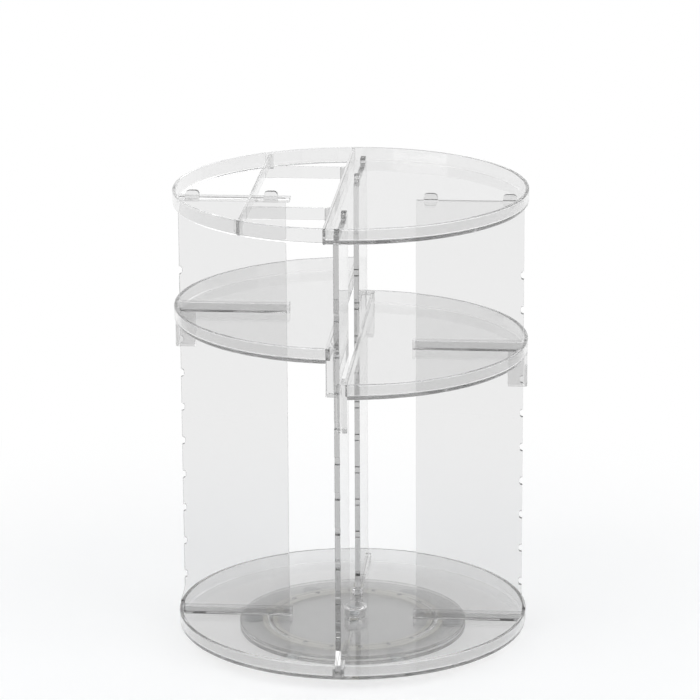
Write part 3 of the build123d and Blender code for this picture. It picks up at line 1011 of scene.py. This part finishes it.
# --- floor and background ----------------------------------------------------------------------------
# The tower stands on a plain white floor that keeps its shadow, before an even white background. Clear
# pieces see the white too, but greyer overhead, which draws their rims.

FLOOR_HALF = 4.0
SHADOW_REACH = 0.18  # the floor is lit as it lies up to here, and is an even white from FLOOR_WHITE on
FLOOR_WHITE = 0.5
BOARD_GLOW = 0.22
HORIZON_Z = 0.12  # height of a direction at which the white studio begins to grey for clear pieces
OVERHEAD_Z = 0.65
OVERHEAD_LIGHT = 0.3
FILL_LIGHT = 0.55


def pale_floor():
    """White matt board. Its own light makes up what the lamps don't give, so that only shadows show."""
    material = bpy.data.materials.new("white_board")
    material.use_nodes = True
    tree = material.node_tree
    tree.nodes.clear()
    place = add_node(tree, "ShaderNodeTexCoord", {}, [])
    away = add_node(tree, "ShaderNodeVectorMath", {"operation": "LENGTH"}, [(0, place.outputs["Object"])])
    far = add_node(
        tree,
        "ShaderNodeMapRange",
        {"From Min": SHADOW_REACH, "From Max": FLOOR_WHITE, "interpolation_type": "SMOOTHSTEP"},
        [("Value", away.outputs["Value"])],
    )
    board = add_node(tree, "ShaderNodeBsdfDiffuse", {"Color": linear("eeeeee")}, [])
    lift = add_node(tree, "ShaderNodeEmission", {"Color": linear("ffffff"), "Strength": BOARD_GLOW}, [])
    near = add_node(tree, "ShaderNodeAddShader", {}, [])
    tree.links.new(board.outputs["BSDF"], near.inputs[0])
    tree.links.new(lift.outputs["Emission"], near.inputs[1])
    white = add_node(tree, "ShaderNodeEmission", {"Color": linear("ffffff"), "Strength": 1.0}, [])
    surface = add_node(tree, "ShaderNodeMixShader", {}, [("Fac", far.outputs["Result"])])
    tree.links.new(near.outputs["Shader"], surface.inputs[1])
    tree.links.new(white.outputs["Emission"], surface.inputs[2])
    plain = add_node(tree, "ShaderNodeBsdfDiffuse", {"Color": linear("eeeeee")}, [])
    ray = add_node(tree, "ShaderNodeLightPath", {}, [])
    seen = add_node(
        tree,
        "ShaderNodeMath",
        {"operation": "MAXIMUM"},
        [(0, ray.outputs["Is Camera Ray"]), (1, ray.outputs["Is Glossy Ray"])],
    )
    looked_at = add_node(
        tree,
        "ShaderNodeMath",
        {"operation": "MAXIMUM"},
        [(0, seen.outputs[0]), (1, ray.outputs["Is Transmission Ray"])],
    )
    look = add_node(tree, "ShaderNodeMixShader", {}, [("Fac", looked_at.outputs[0])])
    tree.links.new(plain.outputs["BSDF"], look.inputs[1])
    tree.links.new(surface.outputs["Shader"], look.inputs[2])
    add_node(tree, "ShaderNodeOutputMaterial", {}, [("Surface", look.outputs["Shader"])])
    return material


bm = bmesh.new()
bmesh.ops.create_grid(bm, x_segments=1, y_segments=1, size=FLOOR_HALF)
floor = made("white_floor", bm)
floor.data.materials.append(pale_floor())

world = bpy.data.worlds.new("white_studio")
bpy.context.scene.world = world
world.use_nodes = True
tree = world.node_tree
tree.nodes.clear()
direction = add_node(tree, "ShaderNodeTexCoord", {}, [])
parts = add_node(tree, "ShaderNodeSeparateXYZ", {}, [("Vector", direction.outputs["Generated"])])
height = add_node(
    tree,
    "ShaderNodeMapRange",
    {
        "From Min": HORIZON_Z,
        "From Max": OVERHEAD_Z,
        "To Min": 1.0,
        "To Max": OVERHEAD_LIGHT,
        "interpolation_type": "SMOOTHSTEP",
    },
    [("Value", parts.outputs["Z"])],
)
studio = add_node(
    tree, "ShaderNodeBackground", {"Color": linear("ffffff")}, [("Strength", height.outputs["Result"])]
)
fill = add_node(tree, "ShaderNodeBackground", {"Color": linear("f7f9fb"), "Strength": FILL_LIGHT}, [])
white = add_node(tree, "ShaderNodeBackground", {"Color": linear("ffffff"), "Strength": 1.0}, [])
ray = add_node(tree, "ShaderNodeLightPath", {}, [])
bent = add_node(
    tree,
    "ShaderNodeMath",
    {"operation": "MAXIMUM"},
    [(0, ray.outputs["Is Glossy Ray"]), (1, ray.outputs["Is Transmission Ray"])],
)
in_glass = add_node(tree, "ShaderNodeMixShader", {}, [("Fac", bent.outputs[0])])
tree.links.new(fill.outputs["Background"], in_glass.inputs[1])
tree.links.new(studio.outputs["Background"], in_glass.inputs[2])
behind = add_node(tree, "ShaderNodeMixShader", {}, [("Fac", ray.outputs["Is Camera Ray"])])
tree.links.new(in_glass.outputs["Shader"], behind.inputs[1])
tree.links.new(white.outputs["Background"], behind.inputs[2])
add_node(tree, "ShaderNodeOutputWorld", {}, [("Surface", behind.outputs["Shader"])])

# --- lamps -------------------------------------------------------------------------------------------
# Large, dim soft boxes, so that they show in the clear walls as a soft sheen and not as glare: one at the
# upper left, one at the right and a wide one above and behind. Each has its place, its size and its watts.

TARGET = Vector((0, 0, 0.15))
LAMPS = (
    ("soft_box_left", (-1.0, -1.0, 1.2), (1.3, 1.3), 10.0),
    ("soft_box_right", (1.2, -0.8, 0.8), (0.9, 1.3), 6.0),
    ("soft_box_back", (0.2, 1.3, 1.1), (1.4, 0.7), 6.0),
)
for name, place, size, power in LAMPS:
    lamp = bpy.data.lights.new(name, "AREA")
    lamp.shape = "RECTANGLE"
    lamp.size, lamp.size_y = size
    lamp.energy = power
    holder = bpy.data.objects.new(name, lamp)
    bpy.context.scene.collection.objects.link(holder)
    aim = (TARGET - Vector(place)).to_track_quat("-Z", "Y").to_matrix().to_4x4()
    holder.matrix_world = Matrix.Translation(place) @ aim

# --- camera ------------------------------------------------------------------------------------------
# The photograph's view, from a fit to the three bands and the panels' edges, in its 700 pixel frame.

FRAME_PX = 700
FOCAL_PX = 3621.0
AZIMUTH = math.radians(4.81)
PITCH = math.radians(15.9)
ROLL = math.radians(-0.29)
DISTANCE = 2.3618
AIM_RIGHT = -0.00092
AIM_UP = 0.19322

backward = Vector(
    (math.sin(AZIMUTH) * math.cos(PITCH), -math.cos(AZIMUTH) * math.cos(PITCH), math.sin(PITCH))
)
level = Vector((math.cos(AZIMUTH), math.sin(AZIMUTH), 0))
upward = backward.cross(level)
right = math.cos(ROLL) * level + math.sin(ROLL) * upward
up = -math.sin(ROLL) * level + math.cos(ROLL) * upward
aim = Vector((0, 0, AIM_UP)) + AIM_RIGHT * level
view = bpy.data.cameras.new("photo_view")
view.sensor_width = 36.0
view.lens = FOCAL_PX / FRAME_PX * view.sensor_width
view.clip_start = 0.05
view.clip_end = 50.0
camera = bpy.data.objects.new("photo_view", view)
bpy.context.scene.collection.objects.link(camera)
turned_frame = Matrix((right, up, backward)).transposed().to_4x4()
camera.matrix_world = Matrix.Translation(aim + DISTANCE * backward) @ turned_frame
bpy.context.scene.camera = camera

# --- settings for clear plastic ----------------------------------------------------------------------
# Light crosses many faces of the nested trays, and inside a plate or a band it is reflected dozens of
# times before it comes out. Each such reflection counts as a glossy bounce.

scene = bpy.context.scene
scene.view_settings.view_transform = "Standard"
scene.cycles.max_bounces = 96
scene.cycles.transmission_bounces = 64
scene.cycles.glossy_bounces = 64
scene.cycles.transparent_max_bounces = 32
